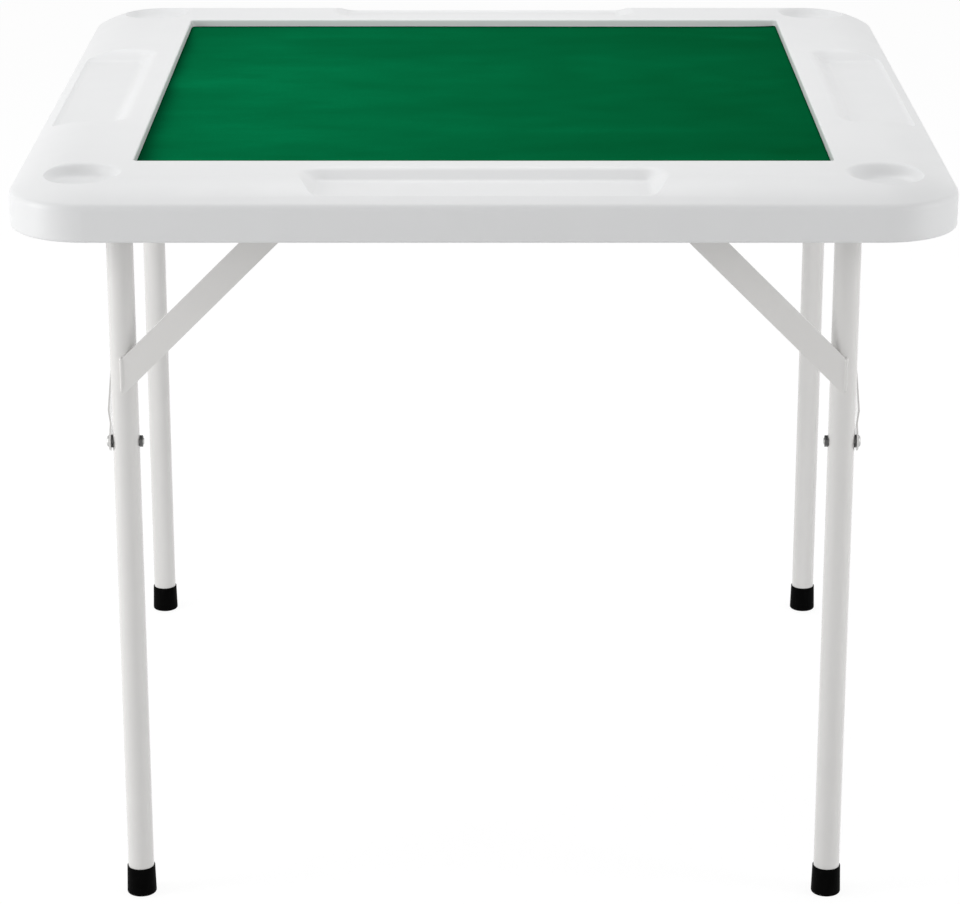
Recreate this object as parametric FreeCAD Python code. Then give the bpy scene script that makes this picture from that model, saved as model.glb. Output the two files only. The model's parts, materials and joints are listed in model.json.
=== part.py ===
import FreeCAD, Part
import math
import os
from FreeCAD import Placement, Rotation, Vector

# Folding four-player game table.  Millimetres, +Z up, +X right, +Y to the rear.
# The origin is on the floor, under the middle of the square top.
#
# A moulded top carries a felt-covered board, four tile trays and four cup wells.
# Two tube leg frames turn under it on crossbars held by saddle clamps.  The front
# frame is narrower, so that it folds between the legs of the rear one.  A two-link
# folding stay ties each leg to the top.

# ---------------------------------------------------------------- moulded top
table_height = 730.0
top_side = 880.0
top_corner_radius = 75.0
apron_depth = 50.0
apron_wall = 6.0
apron_foot_round = 2.5
face_drop = 20.5            # from the rim's top down to the flat apron face
crown_reach = 55.0          # from where the rim starts to fall, out to the apron face
crown_radius = 100.0
top_skin = 4.0

# recess for the playing board
recess_margin = 38.0        # from its mouth out to a tray's floor
recess_corner_radius = 5.0
recess_draft = 2.0          # degrees
recess_lip_round = 2.0
felt_depth = 8.0            # from the rim's top down to the felt
felt_thickness = 1.5
felt_gap = 1.0
board_thickness = 4.0
board_gap = 0.6
deck_thickness = 3.0

# tile trays, one along the middle of each side
tray_length = 308.0         # at the floor
tray_width = 58.0           # at the floor
tray_margin = 15.5          # from the floor's outer edge out to the apron face
tray_depth = 11.0
tray_draft = 51.0           # degrees
tray_corner_radius = 6.0
tray_floor_round = 10.0
tray_lip_round = 13.0

# cup wells, one in each corner
cup_inset = 67.0            # middle of the well, in from both apron faces
cup_floor_radius = 27.0
cup_depth = 12.0
cup_draft = 37.0            # degrees
cup_floor_round = 11.0
cup_lip_round = 7.0

# ribbed panel under the deck
panel_side_gap = 15.3       # to the folded front legs
panel_end_gap = 49.3        # to the crossbars
panel_corner_radius = 12.0
panel_skin = 2.5
panel_rib_depth = 5.5
panel_rib_width = 2.4
panel_cells = 6
panel_cell_round = 7.0
panel_screw_grip = 3.0      # how far the screws reach into the board

# ---------------------------------------------------------------- leg frames
tube_radius = 12.7
tube_wall = 1.2
frame_inset = 60.0          # crossbar and legs, along Y in from the apron face
rear_leg_inset = 56.0       # along X in from the apron face
leg_nesting = 46.0          # the front legs stand this much further in
crossbar_clearance = 2.8    # front crossbar to the deck
rear_pivot_lower = 3.2      # the rear crossbar hangs this much lower
crossbar_overhang = 1.0
weld_gap = 0.05
plug_thickness = 1.6
plug_depth = 9.0
plug_gap = 0.05

strut_reach = 160.0         # along the leg, and as much along the crossbar
strut_width = 25.5
strut_thickness = 2.0
strut_top_lap = 8.0
strut_corner_round = 1.5

foot_height = 29.0
foot_floor = 4.0
foot_top_radius = 13.7
foot_bottom_radius = 14.5
foot_edge_round = 2.0
foot_lip_round = 0.4

# ---------------------------------------------------------------- saddle clamps
clamp_inset = 53.0          # in from the front leg
clamp_width = 24.0
clamp_thickness = 1.5
clamp_flange = 14.0
clamp_bend_round = 1.2
clamp_screw_in = 8.0        # screw from the strap's side
bush_wall = 1.0
bush_play = 0.1             # radial, crossbar in bush
bush_seat_gap = 0.02
bush_collar_width = 1.5
bush_collar_height = 1.2
boss_radius = 6.0

# ---------------------------------------------------------------- folding stays
stay_drop = 228.0           # pivot down to the bolt in the leg
stay_run = 250.0            # pivot in to the bracket's rivet
stay_width = 18.0
stay_thickness = 1.6
stay_side_gap = 0.3         # between faces that slide past each other
stay_joggle = 2.8
stay_joggle_start = 14.0    # from the bolt
stay_joggle_length = 14.0
stay_joggle_round = 11.0
stay_hole_play = 0.08       # radial

bracket_length = 40.0
bracket_flange = 24.0
bracket_thickness = 2.0
bracket_drop = 11.0         # below the rivet
bracket_corner_round = 9.0
bracket_bend_round = 3.0    # outside of the bend
bracket_screw_spacing = 26.0
bracket_screw_x = 14.0      # from the leaf's inner face

# ---------------------------------------------------------------- fasteners
bolt_radius = 3.0
bolt_head_radius = 5.5
bolt_head_height = 2.2
bolt_tail = 1.0
nut_across_flats = 10.0
nut_height = 3.0
washer_radius = 6.2
washer_thickness = 1.0
rivet_radius = 3.0
rivet_head_radius = 5.5
rivet_head_height = 2.0
rivet_tail_radius = 4.5
rivet_tail_height = 1.5
screw_radius = 1.75
screw_head_radius = 3.8
screw_head_height = 2.2
screw_head_round = 1.5
screw_tip_round = 0.8
clamp_screw_length = 11.0
bracket_screw_length = 5.0
fastener_gap = 0.05
screw_tip_gap = 0.5
dome_share = 0.8            # of a head's height, rounded at its rim

# ---------------------------------------------------------------- worked out
top_half = top_side / 2
crown_start = top_half - crown_reach
apron_bottom = table_height - apron_depth
face_top = table_height - face_drop
felt_top = table_height - felt_depth
board_top = felt_top - felt_thickness
deck_top = board_top - board_thickness
deck_bottom = deck_top - deck_thickness
tray_outer_edge = top_half - tray_margin
tray_inner_edge = tray_outer_edge - tray_width
recess_half = tray_inner_edge - recess_margin
recess_floor_half = recess_half - (table_height - deck_top) * math.tan(math.radians(recess_draft))
board_half = recess_floor_half - board_gap
felt_half = recess_floor_half - felt_gap
deck_half = recess_half + top_skin
tray_floor = table_height - tray_depth
cup_centre = top_half - cup_inset
cup_floor = table_height - cup_depth
frame_distance = top_half - frame_inset
rear_leg_x = top_half - rear_leg_inset
front_leg_x = rear_leg_x - leg_nesting
front_pivot_z = deck_bottom - tube_radius - crossbar_clearance
rear_pivot_z = front_pivot_z - rear_pivot_lower
panel_half_x = front_leg_x - tube_radius - panel_side_gap
panel_half_y = frame_distance - tube_radius - panel_end_gap
clamp_x = front_leg_x - clamp_inset
bush_radius = tube_radius + bush_play + bush_wall
clamp_inner_radius = bush_radius + bush_seat_gap
clamp_outer_radius = clamp_inner_radius + clamp_thickness
clamp_screw_y = clamp_outer_radius + clamp_screw_in
stay_length = math.hypot(stay_drop, stay_run)
stay_angle = math.degrees(math.atan2(stay_run, stay_drop))
# Folded flat, the two links lie over each other, so they differ by run less drop.
lower_link_length = (stay_length - (stay_run - stay_drop)) / 2
upper_link_length = stay_length - lower_link_length
# Places across the stay, measured outwards from the leg's outer side.
link_inner = washer_thickness + stay_side_gap
link_outer = link_inner + stay_thickness
upper_inner = link_outer + stay_joggle + stay_side_gap
upper_outer = upper_inner + stay_thickness
bracket_inner = upper_outer + stay_side_gap
overcut = 2.0

sides = {"left": -1, "right": 1}
# Each end: direction along Y, half the leg spacing, height of the crossbar.
ends = {
    "front": (-1, front_leg_x, front_pivot_z),
    "rear": (1, rear_leg_x, rear_pivot_z),
}


# ---------------------------------------------------------------- shared tools
def save(name, shape):
    """Write one node."""
    shape.exportStep(os.path.join("parts", name + ".step"))


def mirrored(shape, side, end):
    """Move a shape made at +X, +Y to the given side (X) and end (Y)."""
    if side < 0:
        shape = shape.mirror(Vector(0, 0, 0), Vector(1, 0, 0))
    if end < 0:
        shape = shape.mirror(Vector(0, 0, 0), Vector(0, 1, 0))
    return shape


def group(solids):
    """Separate solids that share one node."""
    return Part.makeCompound(solids)


def rod(radius, start, direction, length):
    return Part.makeCylinder(radius, length, start, direction)


def block(x_range, y_range, z_range):
    low = Vector(x_range[0], y_range[0], z_range[0])
    size = [pair[1] - pair[0] for pair in (x_range, y_range, z_range)]
    return Part.makeBox(size[0], size[1], size[2], low)


def arc_edge(centre, radius, start, end):
    """Arc in the XZ plane, angles in radians."""
    def at(angle):
        return Vector(centre[0] + radius * math.cos(angle), 0, centre[1] + radius * math.sin(angle))
    return Part.Arc(at(start), at((start + end) / 2), at(end)).toShape()


def line_edge(start, end):
    return Part.makeLine(Vector(start[0], 0, start[1]), Vector(end[0], 0, end[1]))


def rounded_face(corners):
    """Closed face in the XZ plane from (x, z, radius) corners."""
    edges = []
    pieces = []
    count = len(corners)
    for index in range(count):
        x, z, radius = corners[index]
        corner = Vector(x, 0, z)
        if radius == 0:
            pieces.append((corner, None, corner))
            continue
        before = corners[index - 1]
        after = corners[(index + 1) % count]
        back = (Vector(before[0], 0, before[1]) - corner).normalize()
        ahead = (Vector(after[0], 0, after[1]) - corner).normalize()
        half_turn = back.getAngle(ahead) / 2
        reach = radius / math.tan(half_turn)
        middle = (back + ahead).normalize()
        centre = corner + middle * (radius / math.sin(half_turn))
        pieces.append((corner + back * reach, centre - middle * radius, corner + ahead * reach))
    for index in range(count):
        first, bulge, last = pieces[index]
        if bulge is not None:
            edges.append(Part.Arc(first, bulge, last).toShape())
        following = pieces[(index + 1) % count][0]
        if (following - last).Length > 1e-6:
            edges.append(Part.makeLine(last, following))
    return Part.Face(Part.Wire(edges))


def turned(face, centre=Vector(0, 0, 0), angle=360):
    """Revolve an XZ face, drawn from x = 0, about the upright axis through centre."""
    solid = face.revolve(Vector(0, 0, 0), Vector(0, 0, 1), angle)
    solid.translate(centre)
    return solid


def swept_round(face, corner_x, corner_y, z_range):
    """Carry an XZ face, drawn outwards from the corner centre, round a rounded rectangle."""
    pieces = [block((-corner_x, corner_x), (-corner_y, corner_y), z_range)]
    for x_sign, y_sign, start in ((1, 1, 0), (-1, 1, 90), (-1, -1, 180), (1, -1, 270)):
        quarter = turned(face, angle=90)
        quarter.rotate(Vector(0, 0, 0), Vector(0, 0, 1), start)
        quarter.translate(Vector(x_sign * corner_x, y_sign * corner_y, 0))
        pieces.append(quarter)
    for turn, along, out in ((0, corner_y, corner_x), (90, corner_x, corner_y)):
        for flip in (0, 180):
            run = face.extrude(Vector(0, 2 * along, 0))
            run.translate(Vector(out, -along, 0))
            run.rotate(Vector(0, 0, 0), Vector(0, 0, 1), turn + flip)
            pieces.append(run)
    return pieces[0].multiFuse(pieces[1:]).removeSplitter()


def rounded_plate(half_x, half_y, corner_radius, z_range):
    """Flat plate with rounded plan corners."""
    plate = block((-half_x, half_x), (-half_y, half_y), z_range)
    upright = [
        edge for edge in plate.Edges
        if edge.BoundBox.ZLength > edge.BoundBox.XLength + edge.BoundBox.YLength
    ]
    return plate.makeFillet(corner_radius, upright)


def pocket_face(floor_reach, floor, draft, floor_round, lip_round):
    """Profile of a drafted pocket that opens at the rim's top through a rounded lip."""
    slope = math.tan(math.radians(draft))
    mouth = floor_reach + (table_height - floor) * slope
    past_lip = mouth + lip_round
    above = table_height + overcut
    return rounded_face([
        (0, floor, 0),
        (floor_reach, floor, floor_round),
        (mouth, table_height, lip_round),
        (past_lip, table_height, 0),
        (past_lip, above, 0),
        (0, above, 0),
    ])


def pocket_wall_face(floor_reach, floor, draft, floor_round):
    """Profile of the outside of a drafted pocket's floor and wall, run up past the rim's top."""
    slope = math.tan(math.radians(draft))
    reach = floor_reach + top_skin * math.tan(math.radians(90 - draft) / 2)
    bottom = floor - top_skin
    above = table_height + overcut
    return rounded_face([
        (0, bottom, 0),
        (reach, bottom, floor_round + top_skin),
        (reach + (above - bottom) * slope, above, 0),
        (0, above, 0),
    ])


def screw(point, length):
    """Pan-head screw that points straight up, with its head's seat at point."""
    profile = rounded_face([
        (0, -screw_head_height, 0),
        (screw_head_radius, -screw_head_height, screw_head_round),
        (screw_head_radius, 0, 0),
        (screw_radius, 0, 0),
        (screw_radius, length, screw_tip_round),
        (0, length, 0),
    ])
    return turned(profile, point)


def screw_hole(point, start, end):
    """Clearance hole for a screw that points straight up, between two heights."""
    return rod(screw_radius + fastener_gap, Vector(point.x, point.y, start), Vector(0, 0, 1), end - start)


def domed_head(radius, height):
    """Rivet or bolt head on the XY plane, rising along +Z."""
    return turned(rounded_face([
        (0, 0, 0),
        (radius, 0, 0),
        (radius, height, height * dome_share),
        (0, height, 0),
    ]))


def facing(shape, point, outward):
    """Turn a shape made along +Z to point along X, outwards or inwards, at point."""
    turn = 90 if outward else -90
    shape.Placement = Placement(point, Rotation(Vector(0, 1, 0), turn))
    return shape


# ---------------------------------------------------------------- moulded top
def top_outline(half, corner_radius, top, bottom, radius, foot_round):
    """Section of the crowned rim, from the corner centre outwards."""
    corner_centre = half - corner_radius
    start = crown_start - corner_centre
    reach = half - crown_start
    rise = radius - (top - face_top)
    edge_radius = (radius ** 2 - reach ** 2 - rise ** 2) / (2 * (radius - reach))
    crown_middle = (start, top - radius)
    edge_middle = (corner_radius - edge_radius, face_top)
    meet = math.atan2(edge_middle[1] - crown_middle[1], edge_middle[0] - crown_middle[0])
    edges = [
        line_edge((0, bottom), (corner_radius - foot_round, bottom)),
        line_edge((corner_radius, bottom + foot_round), (corner_radius, face_top)),
        arc_edge(edge_middle, edge_radius, 0, meet),
        arc_edge(crown_middle, radius, meet, math.pi / 2),
        line_edge((start, top), (0, top)),
        line_edge((0, top), (0, bottom)),
    ]
    if foot_round > 0:
        foot_middle = (corner_radius - foot_round, bottom + foot_round)
        edges.insert(1, arc_edge(foot_middle, foot_round, -math.pi / 2, 0))
    return Part.Face(Part.Wire(edges))


def top_block():
    section = top_outline(
        top_half, top_corner_radius, table_height, apron_bottom, crown_radius, apron_foot_round)
    corner = top_half - top_corner_radius
    return swept_round(section, corner, corner, (apron_bottom, table_height))


def clamp_boss_places():
    """Middles of the bosses that take the clamp screws."""
    return [
        Vector(side * clamp_x, end * frame_distance + way * clamp_screw_y, deck_bottom)
        for side in sides.values()
        for end in (-1, 1)
        for way in (-1, 1)
    ]


def bracket_screw_places():
    """Middles of the screws that hold the stay brackets."""
    places = []
    for end, leg_x, pivot_z in ends.values():
        x = leg_x + tube_radius + bracket_inner + bracket_screw_x
        for side in sides.values():
            for way in (-1, 1):
                y = end * (frame_distance - stay_run) + way * bracket_screw_spacing / 2
                places.append(Vector(side * x, y, deck_bottom))
    return places


def top_hollow():
    """Space under the top: all but the deck, trays, wells and screw bosses."""
    half = top_half - apron_wall
    corner_radius = top_corner_radius - apron_wall
    corner = half - corner_radius
    top = table_height - top_skin
    bottom = apron_bottom - overcut
    section = top_outline(half, corner_radius, top, bottom, crown_radius - top_skin, 0)
    hollow = swept_round(section, corner, corner, (bottom, top))
    above = table_height + overcut
    keep = [block((-deck_half, deck_half), (-deck_half, deck_half), (deck_bottom, above))]
    keep += at_each_side(tray_shape(pocket_wall_face(
        tray_corner_radius, tray_floor, tray_draft, tray_floor_round)))
    keep += in_each_corner(turned(pocket_wall_face(
        cup_floor_radius, cup_floor, cup_draft, cup_floor_round)))
    for place in clamp_boss_places() + bracket_screw_places():
        keep.append(rod(boss_radius, place, Vector(0, 0, 1), above - place.z))
    return hollow.cut(keep)


def recess_cutter():
    corner = recess_floor_half - recess_corner_radius
    section = pocket_face(recess_corner_radius, deck_top, recess_draft, 0, recess_lip_round)
    return swept_round(section, corner, corner, (deck_top, table_height + overcut))


def tray_shape(section):
    """Carry a tray's section round its outline, on the +Y side."""
    corner_x = tray_length / 2 - tray_corner_radius
    corner_y = tray_width / 2 - tray_corner_radius
    box = section.BoundBox
    shape = swept_round(section, corner_x, corner_y, (box.ZMin, box.ZMax))
    shape.translate(Vector(0, tray_inner_edge + tray_width / 2, 0))
    return shape


def at_each_side(shape):
    """Copies of a shape made on the +Y side, one for each side of the top."""
    return [shape.rotated(Vector(0, 0, 0), Vector(0, 0, 1), 90 * quarter) for quarter in range(4)]


def in_each_corner(shape):
    """Copies of a shape made on the origin, one over the middle of each cup well."""
    return [
        shape.translated(Vector(x_sign * cup_centre, y_sign * cup_centre, 0))
        for x_sign in (-1, 1)
        for y_sign in (-1, 1)
    ]


def tabletop_shell():
    cutters = [recess_cutter()]
    cutters += at_each_side(tray_shape(pocket_face(
        tray_corner_radius, tray_floor, tray_draft, tray_floor_round, tray_lip_round)))
    cutters += in_each_corner(turned(pocket_face(
        cup_floor_radius, cup_floor, cup_draft, cup_floor_round, cup_lip_round)))
    for place in clamp_boss_places():
        tip = deck_bottom - clamp_thickness + clamp_screw_length
        cutters.append(screw_hole(place, deck_bottom, tip + screw_tip_gap))
    for place in bracket_screw_places():
        tip = deck_bottom - bracket_thickness + bracket_screw_length
        cutters.append(screw_hole(place, deck_bottom, tip + screw_tip_gap))
    for place in panel_screw_places():
        cutters.append(screw_hole(place, deck_bottom, deck_top))
    return top_block().cut(top_hollow()).cut(cutters)


def playing_board():
    corner_radius = recess_corner_radius - board_gap
    board = rounded_plate(board_half, board_half, corner_radius, (deck_top, board_top))
    hole_end = deck_top + panel_screw_grip + fastener_gap
    return board.cut([
        screw_hole(place, deck_top - overcut, hole_end) for place in panel_screw_places()
    ])


def felt_mat():
    corner_radius = recess_corner_radius - felt_gap
    return rounded_plate(felt_half, felt_half, corner_radius, (board_top, felt_top))


def cell_pitch():
    return (
        (2 * panel_half_x - panel_rib_width) / panel_cells,
        (2 * panel_half_y - panel_rib_width) / panel_cells,
    )


def cell_middle(column, row):
    pitch_x, pitch_y = cell_pitch()
    middle = (panel_cells - 1) / 2
    return (column - middle) * pitch_x, (row - middle) * pitch_y


def panel_screw_places():
    """One screw in each corner cell and in the four cells round the middle."""
    last = panel_cells - 1
    inner = panel_cells // 2
    picks = [(column, row) for column in (0, last) for row in (0, last)]
    picks += [(column, row) for column in (inner - 1, inner) for row in (inner - 1, inner)]
    places = []
    for column, row in picks:
        x, y = cell_middle(column, row)
        places.append(Vector(x, y, deck_bottom - panel_skin))
    return places


def underside_panel():
    """Flat skin with a square grid of ribs below it."""
    skin_bottom = deck_bottom - panel_skin
    bottom = skin_bottom - panel_rib_depth
    panel = rounded_plate(
        panel_half_x, panel_half_y, panel_corner_radius, (bottom, deck_bottom))
    pitch_x, pitch_y = cell_pitch()
    half_x = (pitch_x - panel_rib_width) / 2
    half_y = (pitch_y - panel_rib_width) / 2
    cell = rounded_plate(half_x, half_y, panel_cell_round, (bottom - overcut, skin_bottom))
    cutters = []
    for column in range(panel_cells):
        for row in range(panel_cells):
            x, y = cell_middle(column, row)
            cutters.append(cell.translated(Vector(x, y, 0)))
    for place in panel_screw_places():
        cutters.append(screw_hole(place, skin_bottom, deck_bottom))
    return panel.cut(cutters)


def panel_screws():
    length = deck_top + panel_screw_grip - (deck_bottom - panel_skin)
    return group([screw(place, length) for place in panel_screw_places()])


# ---------------------------------------------------------------- saddle clamps
def clamp_strap(pivot_z):
    """Strap under the crossbar, with a flange on each side that is screwed to the top."""
    half = clamp_width / 2
    start = Vector(clamp_x - half, frame_distance, pivot_z)
    along = Vector(1, 0, 0)
    x_range = (clamp_x - half, clamp_x + half)

    def yoke(radius, above):
        sleeve = rod(radius, start, along, clamp_width)
        y_range = (frame_distance - radius, frame_distance + radius)
        return sleeve.fuse(block(x_range, y_range, (pivot_z, deck_bottom + above)))

    reach = clamp_outer_radius + clamp_flange
    flange = block(
        x_range,
        (frame_distance - reach, frame_distance + reach),
        (deck_bottom - clamp_thickness, deck_bottom))
    body = yoke(clamp_outer_radius, 0).fuse(flange).cut(yoke(clamp_inner_radius, overcut))
    holes = []
    for way in (-1, 1):
        place = Vector(clamp_x, frame_distance + way * clamp_screw_y, 0)
        holes.append(screw_hole(place, deck_bottom - clamp_thickness, deck_bottom))
    body = body.cut(holes).removeSplitter()
    bends = [
        edge for edge in body.Edges
        if abs(edge.Length - clamp_width) < 1e-6
        and abs(edge.CenterOfMass.z - (deck_bottom - clamp_thickness)) < 1e-6
        and abs(abs(edge.CenterOfMass.y - frame_distance) - clamp_outer_radius) < 1e-6
    ]
    return body.makeFillet(clamp_bend_round, bends)


def clamp_bush(pivot_z):
    """Plastic sleeve between crossbar and strap, with a collar at each end."""
    half = clamp_width / 2 + bush_seat_gap
    end = half + bush_collar_width
    bore = tube_radius + bush_play
    collar = bush_radius + bush_collar_height
    profile = rounded_face([
        (bore, -end, 0),
        (collar, -end, 0),
        (collar, -half, 0),
        (bush_radius, -half, 0),
        (bush_radius, half, 0),
        (collar, half, 0),
        (collar, end, 0),
        (bore, end, 0),
    ])
    return facing(turned(profile), Vector(clamp_x, frame_distance, pivot_z), True)


def clamp_screws():
    seats = [place - Vector(0, 0, clamp_thickness) for place in clamp_boss_places()]
    return group([screw(seat, clamp_screw_length) for seat in seats])


# ---------------------------------------------------------------- leg frames
def crossbar(leg_x, pivot_z):
    half = leg_x + tube_radius + crossbar_overhang
    start = Vector(-half, frame_distance, pivot_z)
    along = Vector(1, 0, 0)
    tube = rod(tube_radius, start, along, 2 * half)
    return tube.cut(rod(tube_radius - tube_wall, start, along, 2 * half))


def crossbar_plug(leg_x, pivot_z):
    """Cap in the crossbar's open end."""
    bore = tube_radius - tube_wall - plug_gap
    profile = rounded_face([
        (0, -plug_depth, 0),
        (bore, -plug_depth, 0),
        (bore, 0, 0),
        (tube_radius, 0, 0),
        (tube_radius, plug_thickness, plug_thickness * dome_share),
        (0, plug_thickness, 0),
    ])
    end_x = leg_x + tube_radius + crossbar_overhang
    return facing(turned(profile), Vector(end_x, frame_distance, pivot_z), True)


def leg(leg_x, pivot_z):
    """Tube coped to the underside of the crossbar and drilled for the stay bolt."""
    base = Vector(leg_x, frame_distance, foot_floor)
    up = Vector(0, 0, 1)
    length = pivot_z - foot_floor
    across = Vector(1, 0, 0)
    cope_start = Vector(leg_x - 2 * tube_radius, frame_distance, pivot_z)
    hole_start = Vector(leg_x - 2 * tube_radius, frame_distance, pivot_z - stay_drop)
    tube = rod(tube_radius, base, up, length)
    return tube.cut([
        rod(tube_radius - tube_wall, base, up, length),
        rod(tube_radius + weld_gap, cope_start, across, 4 * tube_radius),
        rod(bolt_radius + fastener_gap, hole_start, across, 4 * tube_radius),
    ])


def strut(leg_x, pivot_z):
    """Flat bar at 45 degrees across the outer face of leg and crossbar."""
    cut_half = strut_width / math.sqrt(2)
    low_z = pivot_z - strut_reach
    top_z = pivot_z + strut_top_lap
    top_x = leg_x - strut_reach - strut_top_lap
    face = rounded_face([
        (leg_x, low_z - cut_half, strut_corner_round),
        (leg_x, low_z + cut_half, strut_corner_round),
        (top_x + cut_half, top_z, strut_corner_round),
        (top_x - cut_half, top_z, strut_corner_round),
    ])
    bar = face.extrude(Vector(0, strut_thickness, 0))
    bar.translate(Vector(0, frame_distance + tube_radius + weld_gap, 0))
    return bar


def foot(leg_x):
    """Rubber cap pushed over the end of the leg."""
    bore = tube_radius + fastener_gap
    profile = rounded_face([
        (0, 0, 0),
        (foot_bottom_radius, 0, foot_edge_round),
        (foot_top_radius, foot_height, foot_lip_round),
        (bore, foot_height, 0),
        (bore, foot_floor, 0),
        (0, foot_floor, 0),
    ])
    return turned(profile, Vector(leg_x, frame_distance, 0))


# ---------------------------------------------------------------- folding stays
def stay_outline(length):
    """Bar with round ends, from hole to hole along +Z, wide along Y."""
    half = stay_width / 2
    ahead = Vector(1, 0, 0)
    reach = upper_outer + overcut
    bar = block((0, reach), (-half, half), (0, length))
    lower_end = rod(half, Vector(0, 0, 0), ahead, reach)
    upper_end = rod(half, Vector(0, 0, length), ahead, reach)
    return bar.multiFuse([lower_end, upper_end])


def stay_hole(z, radius):
    return rod(radius, Vector(0, 0, z), Vector(1, 0, 0), upper_outer + overcut)


def set_stay(shape, leg_x, y, z):
    """Lean a link made along +Z to the angle of the straight stay."""
    point = Vector(leg_x + tube_radius, y, z)
    shape.Placement = Placement(point, Rotation(Vector(1, 0, 0), stay_angle))
    return shape


def elbow_place(pivot_z):
    """Y and Z of the elbow with the stay straight."""
    share = lower_link_length / stay_length
    return frame_distance - share * stay_run, pivot_z - stay_drop + share * stay_drop


def lower_link(leg_x, pivot_z):
    """Joggled strip from the leg's bolt to the elbow, with the rivet's tail inside."""
    half = stay_width / 2
    end = lower_link_length + half
    bend_end = stay_joggle_start + stay_joggle_length
    strip = rounded_face([
        (link_inner, -half, 0),
        (link_inner, stay_joggle_start, stay_joggle_round),
        (link_inner + stay_joggle, bend_end, stay_joggle_round),
        (link_inner + stay_joggle, end, 0),
        (link_outer + stay_joggle, end, 0),
        (link_outer + stay_joggle, bend_end, stay_joggle_round),
        (link_outer, stay_joggle_start, stay_joggle_round),
        (link_outer, -half, 0),
    ])
    plate = strip.extrude(Vector(0, stay_width, 0))
    plate.translate(Vector(0, -half, 0))
    link = plate.common(stay_outline(lower_link_length))
    link = link.cut(stay_hole(0, bolt_radius + stay_hole_play))
    tail = domed_head(rivet_tail_radius, rivet_tail_height)
    tail = facing(tail, Vector(link_inner + stay_joggle, 0, lower_link_length), False)
    return set_stay(link.fuse(tail), leg_x, frame_distance, pivot_z - stay_drop)


def upper_link(leg_x, pivot_z):
    """Flat strip from the elbow to the bracket."""
    half = stay_width / 2
    outline = stay_outline(upper_link_length)
    plate = outline.common(block(
        (upper_inner, upper_outer), (-half, half), (-half, upper_link_length + half)))
    holes = [
        stay_hole(0, rivet_radius + fastener_gap),
        stay_hole(upper_link_length, rivet_radius + stay_hole_play),
    ]
    y, z = elbow_place(pivot_z)
    return set_stay(plate.cut(holes), leg_x, y, z)


def elbow_rivet(leg_x, pivot_z):
    """Head and short shank in the upper link; it ends flush with that link's inner face."""
    head = domed_head(rivet_head_radius, rivet_head_height)
    head.translate(Vector(0, 0, stay_thickness))
    shank = Part.makeCylinder(rivet_radius, stay_thickness)
    y, z = elbow_place(pivot_z)
    point = Vector(leg_x + tube_radius + upper_inner, y, z)
    return facing(head.fuse(shank), point, True)


def stay_bracket(leg_x, pivot_z):
    """Angle under the top: a leaf for the rivet and a flange for two screws."""
    inner = leg_x + tube_radius + bracket_inner
    middle = frame_distance - stay_run
    half = bracket_length / 2
    low = pivot_z - bracket_drop
    underside = deck_bottom - bracket_thickness
    section = rounded_face([
        (inner, low, 0),
        (inner + bracket_thickness, low, 0),
        (inner + bracket_thickness, underside, bracket_bend_round - bracket_thickness),
        (inner + bracket_flange, underside, 0),
        (inner + bracket_flange, deck_bottom, 0),
        (inner, deck_bottom, bracket_bend_round),
    ])
    angle = section.extrude(Vector(0, bracket_length, 0))
    angle.translate(Vector(0, middle - half, 0))
    lower_edges = [
        edge for edge in angle.Edges
        if abs(edge.Length - bracket_thickness) < 1e-6
        and abs(edge.CenterOfMass.z - low) < 1e-6
    ]
    angle = angle.makeFillet(bracket_corner_round, lower_edges)
    rivet_start = Vector(inner - overcut, middle, pivot_z)
    rivet_reach = bracket_thickness + 2 * overcut
    holes = [rod(rivet_radius + fastener_gap, rivet_start, Vector(1, 0, 0), rivet_reach)]
    for way in (-1, 1):
        place = Vector(inner + bracket_screw_x, middle + way * bracket_screw_spacing / 2, 0)
        holes.append(screw_hole(place, underside, deck_bottom))
    return angle.cut(holes)


def bracket_rivet(leg_x, pivot_z):
    """Rivet that the upper link turns on, headed outside the leaf and inside the link."""
    grip = stay_thickness + 2 * stay_side_gap + bracket_thickness
    outer = domed_head(rivet_head_radius, rivet_head_height)
    outer.translate(Vector(0, 0, grip))
    inner = domed_head(rivet_tail_radius, rivet_tail_height)
    inner.rotate(Vector(0, 0, 0), Vector(1, 0, 0), 180)
    shank = Part.makeCylinder(rivet_radius, grip)
    point = Vector(
        leg_x + tube_radius + upper_inner - stay_side_gap, frame_distance - stay_run, pivot_z)
    return facing(shank.multiFuse([outer, inner]), point, True)


def bracket_screws():
    seats = [place - Vector(0, 0, bracket_thickness) for place in bracket_screw_places()]
    return group([screw(seat, bracket_screw_length) for seat in seats])


def stay_bolt(leg_x, pivot_z):
    """Bolt along X through leg, washer and link; its head is outside the link."""
    head_seat = link_outer + stay_side_gap
    length = head_seat + 2 * tube_radius + nut_height + bolt_tail
    head = domed_head(bolt_head_radius, bolt_head_height)
    shank = Part.makeCylinder(bolt_radius, length, Vector(0, 0, -length))
    point = Vector(leg_x + tube_radius + head_seat, frame_distance, pivot_z - stay_drop)
    return facing(head.fuse(shank), point, True)


def stay_washer(leg_x, pivot_z):
    start = Vector(leg_x + tube_radius, frame_distance, pivot_z - stay_drop)
    ring = rod(washer_radius, start, Vector(1, 0, 0), washer_thickness)
    return ring.cut(rod(bolt_radius + fastener_gap, start, Vector(1, 0, 0), washer_thickness))


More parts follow.
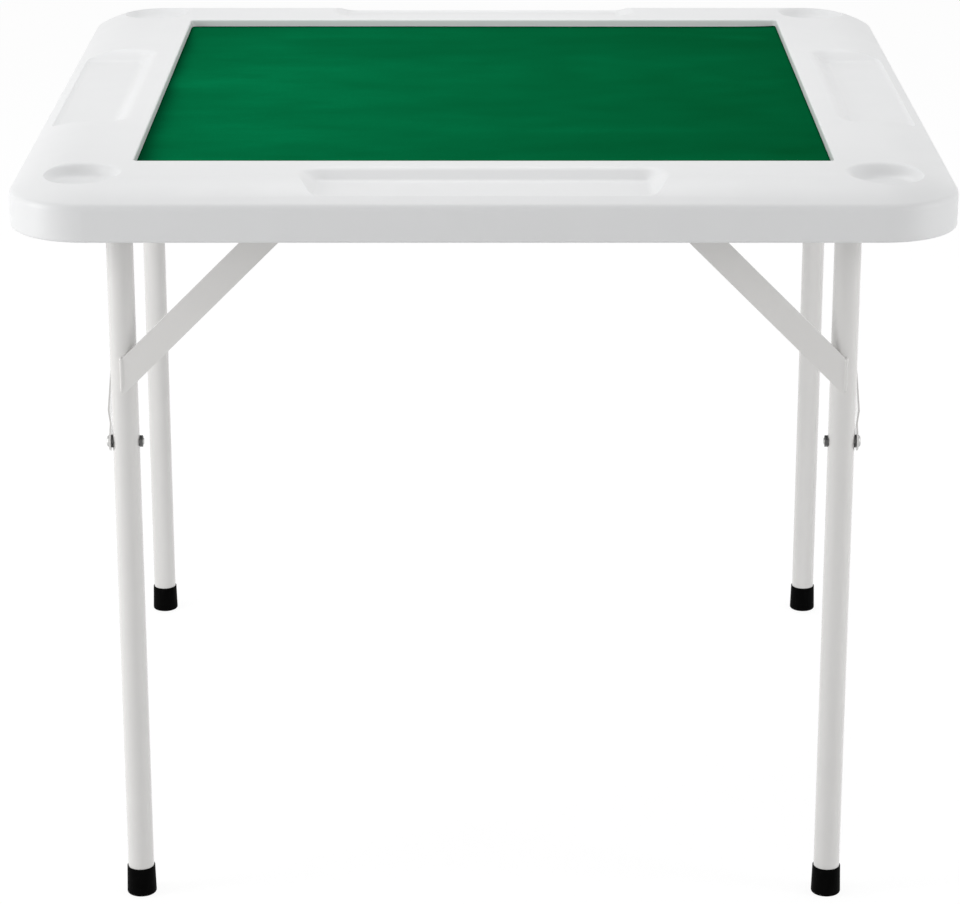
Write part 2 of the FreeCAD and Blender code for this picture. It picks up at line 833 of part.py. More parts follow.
def stay_nut(leg_x, pivot_z):
    """Hexagon nut on the inner side of the leg."""
    corner = Vector(0, 0, nut_across_flats / math.sqrt(3))
    sixth = Rotation(Vector(1, 0, 0), 60)
    points = [corner]
    for turn in range(5):
        points.append(sixth.multVec(points[-1]))
    outline = Part.makePolygon(points + [corner])
    hexagon = Part.Face(outline).extrude(Vector(nut_height, 0, 0))
    hole = rod(bolt_radius + fastener_gap, Vector(0, 0, 0), Vector(1, 0, 0), nut_height)
    nut = hexagon.cut(hole)
    nut.translate(Vector(
        leg_x - tube_radius - nut_height, frame_distance, pivot_z - stay_drop))
    return nut


# ---------------------------------------------------------------- the table
def make_top():
    save("tabletop_shell", tabletop_shell())
    save("playing_board", playing_board())
    save("felt_mat", felt_mat())
    save("underside_panel", underside_panel())
    save("panel_screws", panel_screws())
    save("clamp_screws", clamp_screws())
    save("stay_bracket_screws", bracket_screws())


def make_frame(end_name):
    end, leg_x, pivot_z = ends[end_name]
    both = sides.values()
    save(end_name + "_crossbar", mirrored(crossbar(leg_x, pivot_z), 1, end))
    shared = {
        "_crossbar_plugs": crossbar_plug,
        "_stay_bolts": stay_bolt,
        "_stay_washers": stay_washer,
        "_stay_nuts": stay_nut,
    }
    for suffix, make in shared.items():
        save(end_name + suffix, group([mirrored(make(leg_x, pivot_z), side, end) for side in both]))
    for side_name, side in sides.items():
        name = end_name + "_" + side_name
        save(name + "_leg", mirrored(leg(leg_x, pivot_z), side, end))
        save(name + "_strut", mirrored(strut(leg_x, pivot_z), side, end))
        save(name + "_foot", mirrored(foot(leg_x), side, end))
        save(name + "_clamp", mirrored(clamp_strap(pivot_z), side, end))
        save(name + "_bush", mirrored(clamp_bush(pivot_z), side, end))
        save(name + "_stay_lower", mirrored(lower_link(leg_x, pivot_z), side, end))
        save(name + "_stay_upper", mirrored(upper_link(leg_x, pivot_z), side, end))
        save(name + "_elbow_rivet", mirrored(elbow_rivet(leg_x, pivot_z), side, end))
        save(name + "_stay_bracket", mirrored(stay_bracket(leg_x, pivot_z), side, end))


def make_bracket_rivets():
    rivets = []
    for end, leg_x, pivot_z in ends.values():
        for side in sides.values():
            rivets.append(mirrored(bracket_rivet(leg_x, pivot_z), side, end))
    save("stay_bracket_rivets", group(rivets))


os.makedirs("parts", exist_ok=True)
make_top()
for end_name in ends:
    make_frame(end_name)
make_bracket_rivets()
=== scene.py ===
"""Looks for the folding game table: materials, felt, welds and studio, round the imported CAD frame.

Metres, +Z up, +X right, +Y to the rear; the origin is on the floor under the middle of the top.
"""

import json
import math

import bmesh
import bpy
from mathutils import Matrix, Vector, noise


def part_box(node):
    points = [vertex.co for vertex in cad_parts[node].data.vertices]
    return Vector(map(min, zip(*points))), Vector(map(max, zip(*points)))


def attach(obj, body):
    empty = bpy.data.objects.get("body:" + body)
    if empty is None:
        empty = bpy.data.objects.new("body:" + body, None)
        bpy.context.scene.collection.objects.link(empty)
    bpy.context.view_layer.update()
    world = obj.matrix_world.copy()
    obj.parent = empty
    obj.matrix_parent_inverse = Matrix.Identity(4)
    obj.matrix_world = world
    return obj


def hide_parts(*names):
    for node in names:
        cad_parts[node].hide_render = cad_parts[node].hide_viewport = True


MM = 0.001

# Camera, from a perspective fit of the photograph.  Pixels of a 960 by 904 picture.
IMAGE_WIDTH = 960
IMAGE_HEIGHT = 904
FOCAL_PX = 3317.7
AXIS_PX = (483.8, 400.0)
CAMERA_PITCH = 18.044           # degrees below the horizon
CAMERA_PLACE = (0.0, -3.3518, 1.4789)
SENSOR = 36.0                   # width in millimetres

# Usual range of a noise node's values.
NOISE_LOW = 0.3
NOISE_HIGH = 0.7

# Felt, cut to the recess that it is laid in.
FELT_CELLS = 150                # along each side
FELT_THICKNESS = 1.5 * MM
FELT_SEAT_GAP = 0.05 * MM
FELT_REACH = 1.0 * MM           # past the CAD mat, toward the recess wall
FELT_CORNER_CUT = 1.6 * MM      # the corners draw in, as the recess is rounded there
FELT_CORNER_POWER = 80
FELT_DRAWN_IN = 0.4 * MM        # how far the front and rear edges wave inward
FELT_EDGE_POWER = 8
FELT_EDGE_WAVES = 7.7           # across half the felt
FELT_EDGE_LEVEL = 0.3           # the edge draws in where its noise is under this
FELT_GRID_BEND = 0.48           # of pi: how far the grid lines draw together at the edges
FELT_WAVE = 0.3 * MM
FELT_WAVES = (1.2, 3.5)         # across half the felt, along X and along Y
# Corners that curl up: height, and how close to the corner it starts.
CURL_RIGHT_REAR = (1.3 * MM, 20)
CURL_LEFT_FRONT = (0.8 * MM, 18)

# Painted shade along the felt's edges, darkest at the edge: how strong, and how far in it reaches.
# The wide band at the left is a painted shadow of the recess wall.
EDGE_SHADE_SIDES = (0.9, 1.0 * MM)
EDGE_SHADE_REAR = (0.9, 6.5 * MM)
EDGE_SHADE_FRONT = (0.5, 1.5 * MM)
LEFT_WALL_SHADOW = (0.75, 9.0 * MM)
BAND_FALLOFF = 1.4
BAND_WANDER = (0.5, 4.0)        # of its reach, and waves along half the edge
BAND_TAPER = 0.55               # of its reach, lost from the middle to the rear

# Lean of the pile, from 0 for dark to 1 for light: its mean, and a painted light falloff that
# darkens it toward the right and rear.
NAP_MEAN = 0.52
SHADE_FALL_RIGHT = 0.30
SHADE_FALL_REAR = 0.05
SHADE_FALL_SPAN = 0.33                 # metres, from the middle out to where the fall is whole
NAP_WANDER = (0.012, 4.0)       # metres that the streaks wander, and waves to the metre
# Lighter and darker patches, and narrow bands painted as the light and shade of soft creases: how
# much lighter, middle, reach, share of the wander, and slant.
PATCHES_AND_CREASE_SHADE = (
    (0.20, (-0.21, -0.02), (0.11, 0.20), 0, 0),
    (-0.12, (0.22, -0.13), (0.12, 0.11), 0, 0),
    (0.16, (0.06, -0.175), (0.20, 0.012), 1, 0),
    (-0.20, (0.14, -0.250), (0.24, 0.045), 1, 0),
    (0.14, (-0.17, 0.265), (0.08, 0.012), -1, 0),
    (0.16, (0.29, 0.350), (0.05, 0.016), 0, 0.3),
    (-0.12, (-0.30, 0.30), (0.06, 0.05), 0, 0),
)
# Mottling: strength, waves to the metre along X and along Y, and a seed.
NAP_MOTTLING = (
    (0.16, 7.0, 10.0, 1.0),
    (0.12, 19.0, 34.0, 5.0),
)

# Weld beads, against the tubes and struts that they join.
TUBE_RADIUS = 12.7 * MM
STRUT_CUT = 36.0 * MM           # length of a strut's mitred ends
BEAD_SIDES = 12
BEAD_ASIDE = Vector((0.13, 0.31, 0.94))     # no bead runs this way
BEAD_WAIST = 0.86               # of the radius, between two ripples
BEAD_RIPPLE = 0.14
BEAD_RIPPLE_TURN = 1.3          # radians from ring to ring
BEAD_ROUGHNESS = 0.08
BEAD_ROUGHNESS_SCALE = 900
BEAD_END = 0.08                 # square of the least share of the radius, at an open end
BEAD_END_POWER = 8              # how late a bead thins toward its open ends
POOL_BACK = 3                   # rings from the end back to the pool
POOL_REACH = 2.0                # rings
STRUT_BEAD_RADIUS = 2.0 * MM
STRUT_BEAD_POOL = 0.4           # of the radius
STRUT_BEAD_OUT = 0.8 * MM       # past the strut's end
STRUT_BEAD_UP = 1.0 * MM        # from the strut's lower tip
TOP_BEAD_RADIUS = 1.5 * MM
TOP_BEAD_UP = 0.4 * MM          # over the strut
BEAD_FACE = 0.9 * MM            # past the face of the tube
SADDLE_BEAD_RADIUS = 1.3 * MM
SADDLE_STEPS = 72
SADDLE_REACH = 1.03             # of the tube's radius
SADDLE_DROP = 0.3 * MM

# Studio.  Strength and tone of 1 are white.
WORLD_STRENGTH = 0.46
FLOOR_HALF = 30.0               # metres
FLOOR_SEEN_WHITE = 0.90
FLOOR_SEEN_TONE = 0.16
FLOOR_LIT_TONE = 0.80
FLOOR_DROP = 0.2 * MM           # clear of the feet
# Soft boxes: name, place, aim, size in metres and power in watts.
LAMPS = (
    ("top_box", (-0.35, 1.1, 2.9), (0, 0, 0.7), (2.4, 1.8), 16.0),
    ("left_box", (-2.7, -1.0, 1.2), (0, 0, 0.45), (1.0, 2.2), 35.0),
    ("right_box", (2.8, -1.1, 1.2), (0, 0, 0.45), (0.8, 2.0), 21.0),
    ("front_box", (0.0, -3.6, 1.0), (0, 0, 0.5), (2.4, 1.2), 4.5),
    ("centre_box", (0, 0, 1.35), (0, 0, 0.7), (0.6, 0.6), 1.0),
)


def link(obj):
    """Put an object in the scene."""
    bpy.context.scene.collection.objects.link(obj)
    return obj


# ---------------------------------------------------------------- node tools
class Nodes:
    """A material's node tree, with short calls to add and join nodes."""

    def __init__(self, name):
        self.material = bpy.data.materials.new(name)
        self.material.use_nodes = True
        self.tree = self.material.node_tree
        self.shader = self.tree.nodes["Principled BSDF"]

    def set(self, **values):
        """Constants on the shader's own sockets."""
        for name, value in values.items():
            self.shader.inputs[name.replace("_", " ")].default_value = value

    def add(self, kind, **values):
        """A new node, with values for its settings."""
        node = self.tree.nodes.new(kind)
        for name, value in values.items():
            setattr(node, name, value)
        return node

    def join(self, source, target):
        self.tree.links.new(source, target)

    def place(self, stretch=(1, 1, 1)):
        """Object coordinates, stretched."""
        coordinates = self.add("ShaderNodeTexCoord")
        mapping = self.add("ShaderNodeMapping")
        mapping.inputs["Scale"].default_value = stretch
        self.join(coordinates.outputs["Object"], mapping.inputs["Vector"])
        return mapping.outputs["Vector"]

    def noise(self, scale, detail=3.0, roughness=0.5, stretch=(1, 1, 1)):
        """Noise of scale cells to the metre, fixed to the piece."""
        node = self.add("ShaderNodeTexNoise")
        node.inputs["Scale"].default_value = scale
        node.inputs["Detail"].default_value = detail
        node.inputs["Roughness"].default_value = roughness
        self.join(self.place(stretch), node.inputs["Vector"])
        return node.outputs["Fac"]

    def attribute(self, name):
        """A value stored on the mesh's points."""
        return self.add("ShaderNodeAttribute", attribute_name=name).outputs["Fac"]

    def span(self, value, low, high):
        """Stretch the usual range of a noise over low to high."""
        node = self.add("ShaderNodeMapRange")
        node.inputs["From Min"].default_value = NOISE_LOW
        node.inputs["From Max"].default_value = NOISE_HIGH
        node.inputs["To Min"].default_value = low
        node.inputs["To Max"].default_value = high
        self.join(value, node.inputs["Value"])
        return node.outputs["Result"]

    def blend(self, share, first, second):
        """Colour between two; each is a colour or another node's output."""
        # Inputs 6 and 7 and output 2 are the Mix node's colour sockets.
        node = self.add("ShaderNodeMix", data_type="RGBA")
        for socket, value in ((node.inputs[6], first), (node.inputs[7], second)):
            if isinstance(value, tuple):
                socket.default_value = (*value, 1)
            else:
                self.join(value, socket)
        self.join(share, node.inputs[0])
        return node.outputs[2]

    def colour(self, output):
        self.join(output, self.shader.inputs["Base Color"])

    def rough(self, output):
        self.join(output, self.shader.inputs["Roughness"])

    def bump(self, *layers):
        """Layers of (height output, depth in metres), one over the other."""
        normal = None
        for height, depth in layers:
            node = self.add("ShaderNodeBump")
            node.inputs["Strength"].default_value = 1.0
            node.inputs["Distance"].default_value = depth
            self.join(height, node.inputs["Height"])
            if normal is not None:
                self.join(normal, node.inputs["Normal"])
            normal = node.outputs["Normal"]
        self.join(normal, self.shader.inputs["Normal"])


# ---------------------------------------------------------------- materials
def moulded_plastic(name, tone, roughness, grain):
    """Moulded plastic with a fine spark-eroded grain and faint cloudiness."""
    nodes = Nodes(name)
    darker = tuple(part * 0.985 for part in tone)
    cloud = nodes.noise(scale=9.0, detail=4.0)
    nodes.colour(nodes.blend(nodes.span(cloud, 0, 1), darker, tone))
    nodes.rough(nodes.span(nodes.noise(scale=35.0), roughness - 0.04, roughness + 0.05))
    sink = nodes.noise(scale=11.0, detail=2.0)
    spark = nodes.noise(scale=2600.0, detail=2.0, roughness=0.6)
    nodes.bump((sink, 0.12 * MM), (spark, grain))
    nodes.set(IOR=1.49)
    return nodes.material


def green_felt():
    """Short-pile felt: fibres, lighter and darker areas that carry a painted light falloff and
    painted crease shade, and painted shade along the edges.
    """
    nodes = Nodes("green_felt")
    fibres = nodes.noise(scale=1500.0, detail=4.0, roughness=0.7)
    cloud = nodes.noise(scale=15.0, detail=5.0, roughness=0.65, stretch=(0.4, 1.0, 1.0))
    # Soft bands across the felt, blended toward a mid green: painted shade of soft creases.
    bands = nodes.noise(scale=7.0, detail=3.0, roughness=0.5, stretch=(0.18, 1.0, 1.0))
    dark = nodes.blend(nodes.span(fibres, 0, 1), (0.0006, 0.062, 0.016), (0.0010, 0.108, 0.030))
    light = nodes.blend(nodes.span(fibres, 0, 1), (0.0008, 0.158, 0.054), (0.0016, 0.258, 0.094))
    # Dark to light green by the lean of the pile, which also carries the painted light falloff and
    # the painted crease shade.
    base = nodes.blend(nodes.attribute("nap_and_shade"), dark, light)
    base = nodes.blend(nodes.span(cloud, 0.0, 0.50), base, (0.0008, 0.108, 0.033))
    base = nodes.blend(nodes.span(bands, 0.0, 0.35), base, (0.0008, 0.108, 0.034))
    # Painted edge shade: the felt darkens toward a dark green along its edges, where the recess wall
    # shades it.
    nodes.colour(nodes.blend(nodes.attribute("edge_shade"), base, (0.0003, 0.018, 0.007)))
    waves = nodes.noise(scale=6.0, detail=3.0, roughness=0.5, stretch=(0.3, 1.0, 1.0))
    nodes.bump((waves, 0.5 * MM), (fibres, 0.10 * MM))
    nodes.set(Roughness=1.0, Specular_IOR_Level=0.0)
    return nodes.material


def board_core():
    """Sanded fibreboard, finely chipped."""
    nodes = Nodes("board_core")
    chips = nodes.noise(scale=420.0, detail=5.0, roughness=0.7)
    nodes.colour(nodes.blend(nodes.span(chips, 0, 1), (0.33, 0.22, 0.13), (0.50, 0.36, 0.23)))
    nodes.bump((chips, 0.08 * MM))
    nodes.set(Roughness=0.8)
    return nodes.material


def powder_coat():
    """White powder coat over steel: orange peel and a clear gloss."""
    nodes = Nodes("white_powder_coat")
    cloud = nodes.noise(scale=18.0, detail=3.0)
    nodes.colour(nodes.blend(
        nodes.span(cloud, 0, 1), (0.802, 0.792, 0.777), (0.817, 0.807, 0.792)))
    nodes.rough(nodes.span(nodes.noise(scale=60.0), 0.20, 0.26))
    peel = nodes.noise(scale=520.0, detail=2.0, roughness=0.45)
    nodes.bump((peel, 0.006 * MM))
    nodes.set(Coat_Weight=0.7, Coat_Roughness=0.10)
    return nodes.material


def bare_metal(name, tone, roughness, scratch):
    """Plated steel with fine turned scratches and dull patches."""
    nodes = Nodes(name)
    dull = tuple(part * 0.75 for part in tone)
    patches = nodes.noise(scale=240.0, detail=4.0, roughness=0.6)
    nodes.colour(nodes.blend(nodes.span(patches, 0, 1), dull, tone))
    nodes.rough(nodes.span(patches, roughness - 0.06, roughness + 0.14))
    turned = nodes.noise(scale=3000.0, detail=2.0, roughness=0.5, stretch=(1, 0.1, 1))
    nodes.bump((turned, scratch))
    nodes.set(Metallic=1.0)
    return nodes.material


def black_rubber():
    """Moulded rubber with a faint bloom."""
    nodes = Nodes("black_rubber")
    bloom = nodes.noise(scale=70.0, detail=4.0, roughness=0.6)
    nodes.colour(nodes.blend(
        nodes.span(bloom, 0, 1), (0.0012, 0.0012, 0.0012), (0.003, 0.003, 0.003)))
    nodes.rough(nodes.span(bloom, 0.45, 0.6))
    skin = nodes.noise(scale=1500.0, detail=2.0, roughness=0.6)
    nodes.bump((skin, 0.03 * MM))
    nodes.set(Specular_IOR_Level=0.015)
    return nodes.material


def all_materials():
    """One material for each slot of the record: tone, roughness and depth of grain or scratches."""
    made = [
        moulded_plastic("white_moulded_plastic", (0.855, 0.86, 0.865), 0.40, 0.012 * MM),
        moulded_plastic("panel_plastic", (0.80, 0.805, 0.81), 0.5, 0.03 * MM),
        green_felt(),
        board_core(),
        powder_coat(),
        moulded_plastic("white_plug_plastic", (0.80, 0.80, 0.80), 0.38, 0.01 * MM),
        moulded_plastic("black_bush_plastic", (0.02, 0.02, 0.021), 0.4, 0.01 * MM),
        black_rubber(),
        bare_metal("zinc_steel", (0.62, 0.62, 0.61), 0.32, 0.01 * MM),
        bare_metal("dark_washer", (0.12, 0.12, 0.12), 0.4, 0.01 * MM),
    ]
    return {material.name: material for material in made}


MATERIALS = all_materials()


def dress(obj, slot):
    """Give a piece its slot's material, and no other."""
    obj.data.materials.clear()
    obj.data.materials.append(MATERIALS[slot])


# ---------------------------------------------------------------- felt
def felt_outline(u, v, half):
    """Plan place of a point of the felt; u and v run from -1 to 1."""
    wave = min(0.0, noise.noise(Vector((FELT_EDGE_WAVES * u, 1.9, 4.2))) - FELT_EDGE_LEVEL)
    drawn_in = -FELT_DRAWN_IN * wave * abs(v) ** FELT_EDGE_POWER
    corner = FELT_CORNER_CUT * (u * v) ** FELT_CORNER_POWER
    return u * (half - corner), v * (half - corner - drawn_in)


def felt_lift(u, v):
    """Height of the felt over its seat: faint waves, and corners that curl a little."""
    across, along = FELT_WAVES
    rest = FELT_WAVE * (0.5 + noise.noise(Vector((across * u, along * v, 2.0))))
    height, power = CURL_RIGHT_REAR
    right_rear = height * (max(0.0, u) ** power * max(0.0, v) ** power)
    height, power = CURL_LEFT_FRONT
    left_front = height * (max(0.0, -u) ** power * max(0.0, -v) ** power)
    return rest + right_rear + left_front


def felt_edge_shade(u, v, half):
    """Painted shade along the felt's edges, from 0 to 1: a dark line at each edge, wider at the
    rear, and a wide painted shadow of the wall at the left.
    """
    strength, reach = EDGE_SHADE_SIDES
    side = strength * math.exp(-(1 - abs(u)) * half / reach)
    strength, reach = EDGE_SHADE_REAR
    rear = strength * math.exp(-((1 - v) * half / reach) ** 2)
    strength, reach = EDGE_SHADE_FRONT
    front = strength * math.exp(-((1 + v) * half / reach))
    # Painted shadow of the left wall: a wide band that wanders and narrows toward the rear.
    strength, reach = LEFT_WALL_SHADOW
    wander, waves = BAND_WANDER
    wide = 1.0 + wander * noise.noise(Vector((0.3, waves * v, 6.1))) - BAND_TAPER * v
    band = strength * math.exp(-((1 + u) * half / (reach * wide)) ** BAND_FALLOFF)
    return min(1.0, max(side, rear, front, band))


def soft_patch(x, y, middle, reach):
    """1 at the middle of a brushed patch, falling to 0 past its reach along x and y."""
    return math.exp(-((x - middle[0]) / reach[0]) ** 2 - ((y - middle[1]) / reach[1]) ** 2)


def felt_nap_and_shade(x, y):
    """Lean of the pile, from 0 for dark to 1 for light, with a painted light falloff toward the
    right and rear and the painted light and shade of soft creases.
    """
    reach, waves = NAP_WANDER
    wander = reach * noise.noise(Vector((waves * x, 0.0, 2.2)))
    # Painted light falloff: darker toward the right and rear.
    nap_and_shade = NAP_MEAN - SHADE_FALL_RIGHT * x / SHADE_FALL_SPAN - SHADE_FALL_REAR * y / SHADE_FALL_SPAN
    for lighter, middle, reach, share, slant in PATCHES_AND_CREASE_SHADE:
        nap_and_shade += lighter * soft_patch(x, y + share * wander + slant * x, middle, reach)
    for strength, across, along, seed in NAP_MOTTLING:
        nap_and_shade += strength * noise.noise(Vector((across * x, along * y, seed)))
    return max(0.0, min(1.0, nap_and_shade))


def eased(step):
    """Place from -1 to 1 of a grid line; the lines draw together toward the edges."""
    reach = math.pi * FELT_GRID_BEND
    return math.sin((2 * step / FELT_CELLS - 1) * reach) / math.sin(reach)


def felt_layer(mesh, edge_shade, nap_and_shade, half, level):
    """One face of the felt as rows of points, with the painted edge shade at each, and the lean of
    the pile with its painted light falloff.
    """
    rows = []
    for row in range(FELT_CELLS + 1):
        line = []
        for column in range(FELT_CELLS + 1):
            u = eased(column)
            v = eased(row)
            x, y = felt_outline(u, v, half)
            point = mesh.verts.new((x, y, level + felt_lift(u, v)))
            point[edge_shade] = felt_edge_shade(u, v, half)
            point[nap_and_shade] = felt_nap_and_shade(x, y)
            line.append(point)
        rows.append(line)
    return rows


def close_edge(mesh, lower, upper):
    """Quads between the rims of the felt's two faces."""
    last = FELT_CELLS
    for step in range(FELT_CELLS):
        mesh.faces.new((lower[0][step], lower[0][step + 1], upper[0][step + 1], upper[0][step]))
        mesh.faces.new((lower[last][step + 1], lower[last][step],
                        upper[last][step], upper[last][step + 1]))
        mesh.faces.new((lower[step + 1][0], lower[step][0], upper[step][0], upper[step + 1][0]))
        mesh.faces.new((lower[step][last], lower[step + 1][last],
                        upper[step + 1][last], upper[step][last]))


def make_felt():
    """Felt laid in the recess, over the board, in place of the CAD mat."""
    low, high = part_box("felt_mat")
    half = high[0] + FELT_REACH
    seat = low[2] + FELT_SEAT_GAP
    mesh = bmesh.new()
    # Both layers are made before either is looked up, because a new layer moves the others.
    # The first layer holds the painted edge shade; the second holds the lean of the pile with its
    # painted light falloff.
    mesh.verts.layers.float.new("edge_shade")
    mesh.verts.layers.float.new("nap_and_shade")
    edge_shade = mesh.verts.layers.float["edge_shade"]
    nap_and_shade = mesh.verts.layers.float["nap_and_shade"]
    lower = felt_layer(mesh, edge_shade, nap_and_shade, half, seat)
    upper = felt_layer(mesh, edge_shade, nap_and_shade, half, seat + FELT_THICKNESS)
    for row in range(FELT_CELLS):
        for column in range(FELT_CELLS):
            for grid, order in ((lower, (0, 3, 2, 1)), (upper, (0, 1, 2, 3))):
                quad = (grid[row][column], grid[row][column + 1],
                        grid[row + 1][column + 1], grid[row + 1][column])
                mesh.faces.new([quad[place] for place in order])
    close_edge(mesh, lower, upper)
    data = bpy.data.meshes.new("felt_sheet")
    mesh.to_mesh(data)
    mesh.free()
    for face in data.polygons:
        face.use_smooth = abs(face.normal.z) > 0.5
    felt = link(bpy.data.objects.new("felt_sheet", data))
    dress(felt, "green_felt")
    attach(felt, "tabletop")
    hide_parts("felt_mat")


# ---------------------------------------------------------------- welds
def bead_ring(mesh, point, across, up, radius):
    """One ring of a weld bead, in the plane of across and up."""
    ring = []
    for step in range(BEAD_SIDES):
        angle = 2 * math.pi * step / BEAD_SIDES
        ring.append(mesh.verts.new(
            point + radius * (math.cos(angle) * across + math.sin(angle) * up)))
    return ring


def weld_bead(name, body, line, radius, closed=False, pool=0.0):
    """Rippled weld bead along a line of points; pool is how much it swells at its last end."""
    mesh = bmesh.new()
    rings = []
    count = len(line)
    for place, point in enumerate(line):
        before = line[place - 1] if place or closed else point
        after = line[(place + 1) % count] if place + 1 < count or closed else point
        run = (after - before).normalized()
        across = run.cross(BEAD_ASIDE).normalized()
        ripple = (BEAD_WAIST + BEAD_RIPPLE * abs(math.sin(BEAD_RIPPLE_TURN * place))
                  + BEAD_ROUGHNESS * noise.noise(BEAD_ROUGHNESS_SCALE * point))
        if not closed:
            middle = 2 * place / (count - 1) - 1
            ripple *= math.sqrt(max(BEAD_END, 1 - middle ** BEAD_END_POWER))
            ripple *= 1 + pool * math.exp(-((count - POOL_BACK - place) / POOL_REACH) ** 2)
        rings.append(bead_ring(mesh, point, across, run.cross(across), radius * ripple))
    spans = list(zip(rings, rings[1:])) + ([(rings[-1], rings[0])] if closed else [])
    for first, second in spans:
        for step in range(BEAD_SIDES):
            after = (step + 1) % BEAD_SIDES
            mesh.faces.new((first[step], first[after], second[after], second[step]))
    if not closed:
        mesh.faces.new(rings[0][::-1])
        mesh.faces.new(rings[-1])
    bmesh.ops.recalc_face_normals(mesh, faces=mesh.faces)
    data = bpy.data.meshes.new(name)
    mesh.to_mesh(data)
    mesh.free()
    for face in data.polygons:
        face.use_smooth = True
    bead = link(bpy.data.objects.new(name, data))
    dress(bead, "white_powder_coat")
    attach(bead, body)


def straight(start, end):
    """Points from start to end, one every millimetre."""
    count = max(4, round((end - start).length / MM))
    return [start.lerp(end, step / count) for step in range(count + 1)]


def strut_welds(end, side):
    """Beads at the two ends of a strut: up the leg, and along the crossbar."""
    low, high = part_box(f"{end}_{side}_strut")
    leg_low, leg_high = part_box(f"{end}_{side}_leg")
    outer = low.x if side == "left" else high.x
    inner = high.x if side == "left" else low.x
    leg_y = (leg_low.y + leg_high.y) / 2
    face = math.copysign(abs(leg_y) + TUBE_RADIUS + BEAD_FACE, leg_y)
    away = -1 if side == "left" else 1
    start = Vector((outer + away * STRUT_BEAD_OUT, face, low.z + STRUT_BEAD_UP))
    up = straight(start, start + Vector((0, 0, STRUT_CUT - 2 * STRUT_BEAD_UP)))
    weld_bead(f"{end}_{side}_strut_weld", f"{end}_leg_frame", up,
              STRUT_BEAD_RADIUS, pool=STRUT_BEAD_POOL)
    start = Vector((inner, face, high.z + TOP_BEAD_UP))
    along = straight(start, start + Vector((away * STRUT_CUT, 0, 0)))
    weld_bead(f"{end}_{side}_strut_top_weld", f"{end}_leg_frame", along, TOP_BEAD_RADIUS)


def leg_weld(end, side):
    """Bead round the saddle where a leg meets the crossbar."""
    low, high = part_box(f"{end}_{side}_leg")
    bar_low, bar_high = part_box(f"{end}_crossbar")
    middle = Vector(((low.x + high.x) / 2, (low.y + high.y) / 2, (bar_low.z + bar_high.z) / 2))
    line = []
    for step in range(SADDLE_STEPS):
        angle = 2 * math.pi * step / SADDLE_STEPS
        x = TUBE_RADIUS * math.cos(angle)
        y = TUBE_RADIUS * math.sin(angle)
        line.append(middle + Vector((x * SADDLE_REACH, y * SADDLE_REACH, -abs(x) - SADDLE_DROP)))
    weld_bead(f"{end}_{side}_leg_weld", f"{end}_leg_frame", line,
              SADDLE_BEAD_RADIUS, closed=True)


def make_welds():
    """All beads of both leg frames."""
    for end in ("front", "rear"):
        for side in ("left", "right"):
            strut_welds(end, side)
            leg_weld(end, side)


# ---------------------------------------------------------------- studio
def add_camera():
    """Camera of the photograph, with its off-centre axis as a lens shift."""
    data = bpy.data.cameras.new("camera")
    data.sensor_width = SENSOR
    data.lens = FOCAL_PX / IMAGE_WIDTH * SENSOR
    data.shift_x = (IMAGE_WIDTH / 2 - AXIS_PX[0]) / IMAGE_WIDTH
    data.shift_y = (AXIS_PX[1] - IMAGE_HEIGHT / 2) / IMAGE_WIDTH
    camera = link(bpy.data.objects.new("camera", data))
    camera.location = CAMERA_PLACE
    camera.rotation_euler = (math.radians(90 - CAMERA_PITCH), 0, 0)
    bpy.context.scene.camera = camera


def add_lamp(name, place, aim, size, power):
    """A soft box that looks from place to aim."""
    data = bpy.data.lights.new(name, "AREA")
    data.shape = "RECTANGLE"
    data.size, data.size_y = size
    data.energy = power
    lamp = link(bpy.data.objects.new(name, data))
    lamp.location = place
    lamp.rotation_euler = (Vector(aim) - Vector(place)).to_track_quat("-Z", "Y").to_euler()
    lamp.visible_camera = False


def seen_rays(tree):
    """1 on camera, glossy and transmission rays, and 0 on the others."""
    path = tree.nodes.new("ShaderNodeLightPath")
    total = path.outputs["Is Camera Ray"]
    for name in ("Is Glossy Ray", "Is Transmission Ray"):
        node = tree.nodes.new("ShaderNodeMath")
        node.operation = "MAXIMUM"
        tree.links.new(total, node.inputs[0])
        tree.links.new(path.outputs[name], node.inputs[1])
        total = node.outputs[0]
    return total


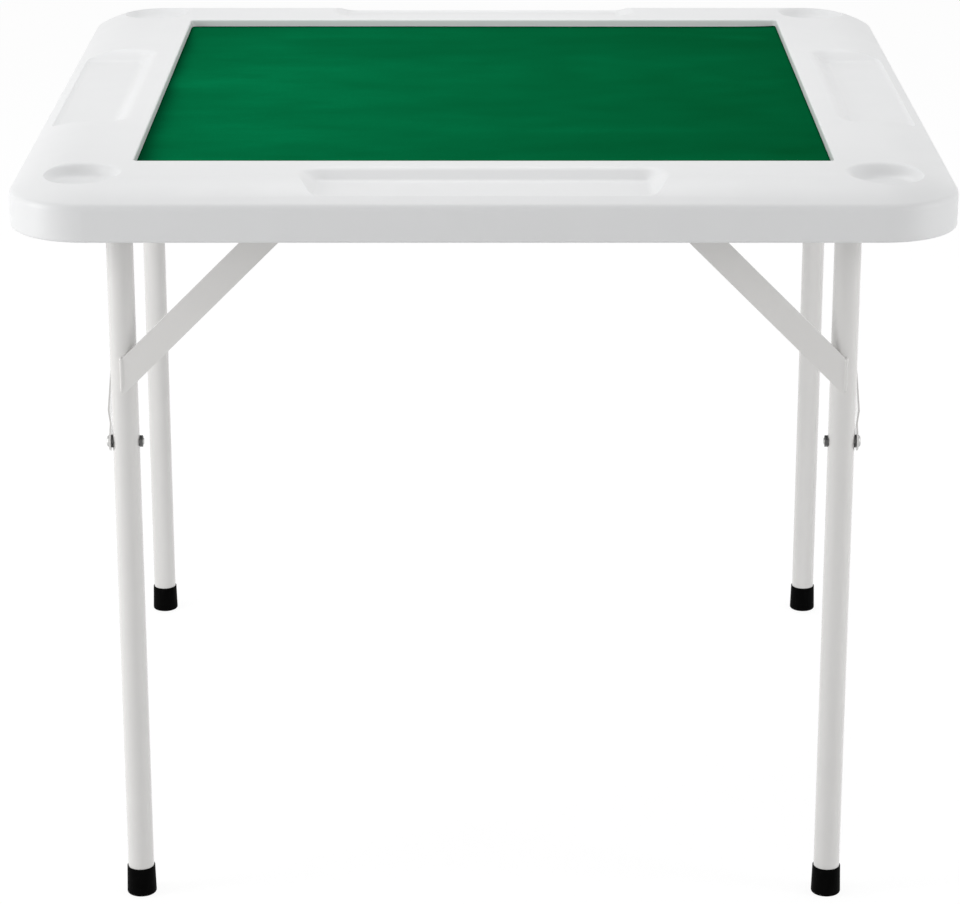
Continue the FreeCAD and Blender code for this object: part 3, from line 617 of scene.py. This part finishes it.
def add_world():
    """White where it is seen, and a plain soft light elsewhere."""
    world = bpy.data.worlds.new("studio")
    bpy.context.scene.world = world
    world.use_nodes = True
    tree = world.node_tree
    light = tree.nodes["Background"]
    light.inputs["Color"].default_value = (1, 1, 1, 1)
    level = tree.nodes.new("ShaderNodeMapRange")
    level.inputs["To Min"].default_value = WORLD_STRENGTH
    level.inputs["To Max"].default_value = 1.0
    tree.links.new(seen_rays(tree), level.inputs["Value"])
    tree.links.new(level.outputs["Result"], light.inputs["Strength"])


def add_floor():
    """Wide white floor: it sends light up to the table, and shows only a faint shadow."""
    mesh = bpy.data.meshes.new("floor")
    half = FLOOR_HALF
    edge = [(-half, -half, 0), (half, -half, 0), (half, half, 0), (-half, half, 0)]
    mesh.from_pydata(edge, [], [(0, 1, 2, 3)])
    floor = link(bpy.data.objects.new("floor", mesh))
    floor.location.z = -FLOOR_DROP
    nodes = Nodes("studio_floor")
    seen = seen_rays(nodes.tree)
    nodes.colour(nodes.blend(seen, (FLOOR_LIT_TONE,) * 3, (FLOOR_SEEN_TONE,) * 3))
    nodes.set(Roughness=0.9, Specular_IOR_Level=0.0, Emission_Color=(1, 1, 1, 1))
    level = nodes.add("ShaderNodeMath", operation="MULTIPLY")
    level.inputs[1].default_value = FLOOR_SEEN_WHITE
    nodes.join(seen, level.inputs[0])
    nodes.join(level.outputs[0], nodes.shader.inputs["Emission Strength"])
    mesh.materials.append(nodes.material)


def add_studio():
    """Camera, world, floor and soft boxes."""
    add_camera()
    add_world()
    add_floor()
    for name, place, aim, size, power in LAMPS:
        add_lamp(name, place, aim, size, power)
    bpy.context.scene.view_settings.view_transform = "Standard"


# ---------------------------------------------------------------- the table
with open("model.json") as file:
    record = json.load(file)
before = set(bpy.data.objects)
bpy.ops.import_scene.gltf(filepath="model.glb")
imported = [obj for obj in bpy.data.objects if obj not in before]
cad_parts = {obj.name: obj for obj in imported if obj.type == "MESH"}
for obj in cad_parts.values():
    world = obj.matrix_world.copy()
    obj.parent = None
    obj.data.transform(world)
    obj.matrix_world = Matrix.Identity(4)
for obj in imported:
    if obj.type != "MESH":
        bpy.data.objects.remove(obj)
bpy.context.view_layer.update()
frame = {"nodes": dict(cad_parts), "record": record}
for part in frame["record"]["subparts"]:
    dress(frame["nodes"][part["node"]], part["material_slot"])
make_felt()
make_welds()
add_studio()
